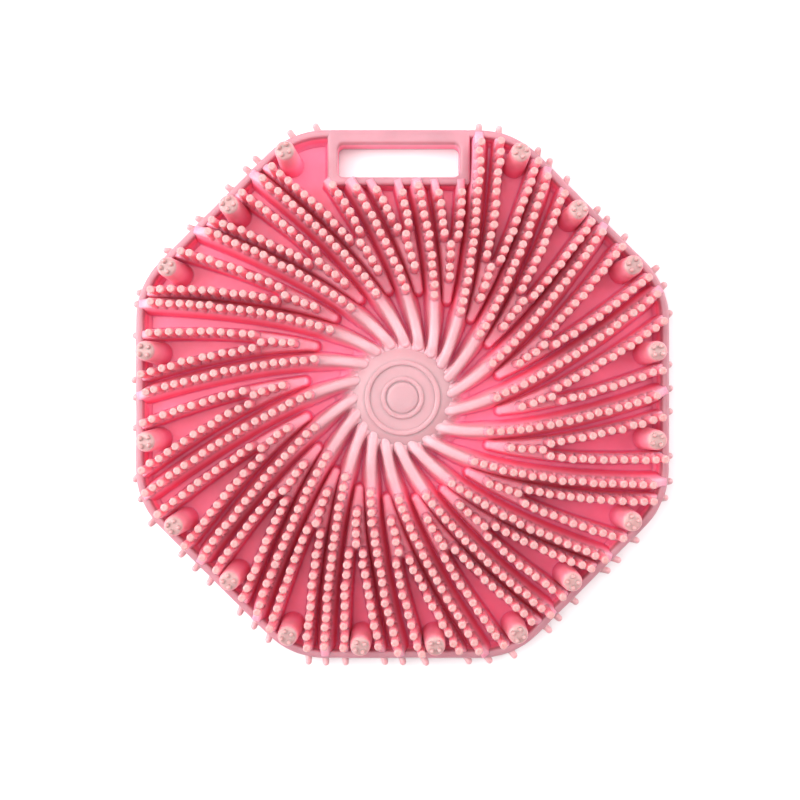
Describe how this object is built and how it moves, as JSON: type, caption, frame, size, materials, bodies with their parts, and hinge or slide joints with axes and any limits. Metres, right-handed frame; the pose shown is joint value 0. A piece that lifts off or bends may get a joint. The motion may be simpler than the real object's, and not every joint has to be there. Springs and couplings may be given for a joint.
{
  "type": "scalp massager brush",
  "caption": "Flat octagonal pink silicone massage and scrubbing pad with spiral ribs topped by soft bristles, a raised hub, edge posts and a hanging slot.",
  "frame": {"origin": "middle of the flat back face, at the centre of the octagonal outline", "axes": "+Z out of the back face towards the bristle tips, +Y towards the hanging slot, +X to the right when looking at the bristles with the slot at the top"},
  "size_m": [0.1606, 0.159, 0.0172],
  "materials": {
    "web_silicone": "satin moulded silicone",
    "rib_silicone": "satin moulded silicone",
    "rim_silicone": "satin moulded silicone",
    "bristle_silicone": "satin moulded silicone"
  },
  "bodies": {
    "root": {"back_web": "web_silicone", "branch_arm_bristles": "bristle_silicone", "branch_rib_01": "rib_silicone", "branch_rib_02": "rib_silicone", "branch_rib_03": "rib_silicone", "branch_rib_04": "rib_silicone", "branch_rib_05": "rib_silicone", "branch_rib_06": "rib_silicone", "branch_rib_07": "rib_silicone", "branch_rib_08": "rib_silicone", "branch_rib_09": "rib_silicone", "branch_rib_10": "rib_silicone", "branch_rib_11": "rib_silicone", "branch_rib_12": "rib_silicone", "branch_rib_13": "rib_silicone", "branch_rib_14": "rib_silicone", "branch_rib_15": "rib_silicone", "branch_rib_16": "rib_silicone", "branch_rib_17": "rib_silicone", "branch_rib_18": "rib_silicone", "branch_rib_19": "rib_silicone", "branch_rib_20": "rib_silicone", "branch_stem_bristles": "bristle_silicone", "edge_posts": "bristle_silicone", "hub_boss": "rim_silicone", "hub_centre_disc": "rim_silicone", "hub_inner_ring": "rim_silicone", "hub_outer_ring": "rim_silicone", "main_rib_01": "rib_silicone", "main_rib_02": "rib_silicone", "main_rib_03": "rib_silicone", "main_rib_04": "rib_silicone", "main_rib_05": "rib_silicone", "main_rib_06": "rib_silicone", "main_rib_07": "rib_silicone", "main_rib_08": "rib_silicone", "main_rib_09": "rib_silicone", "main_rib_10": "rib_silicone", "main_rib_11": "rib_silicone", "main_rib_12": "rib_silicone", "main_rib_13": "rib_silicone", "main_rib_14": "rib_silicone", "main_rib_15": "rib_silicone", "main_rib_16": "rib_silicone", "main_rib_17": "rib_silicone", "main_rib_18": "rib_silicone", "main_rib_19": "rib_silicone", "main_rib_20": "rib_silicone", "main_rib_bristles": "bristle_silicone", "outer_rim": "rim_silicone", "post_nubs": "bristle_silicone", "rim_fringe": "bristle_silicone", "slot_frame_bottom": "rim_silicone", "slot_frame_left": "rim_silicone", "slot_frame_right": "rim_silicone", "slot_frame_top": "rim_silicone"}
  },
  "joints": []
}
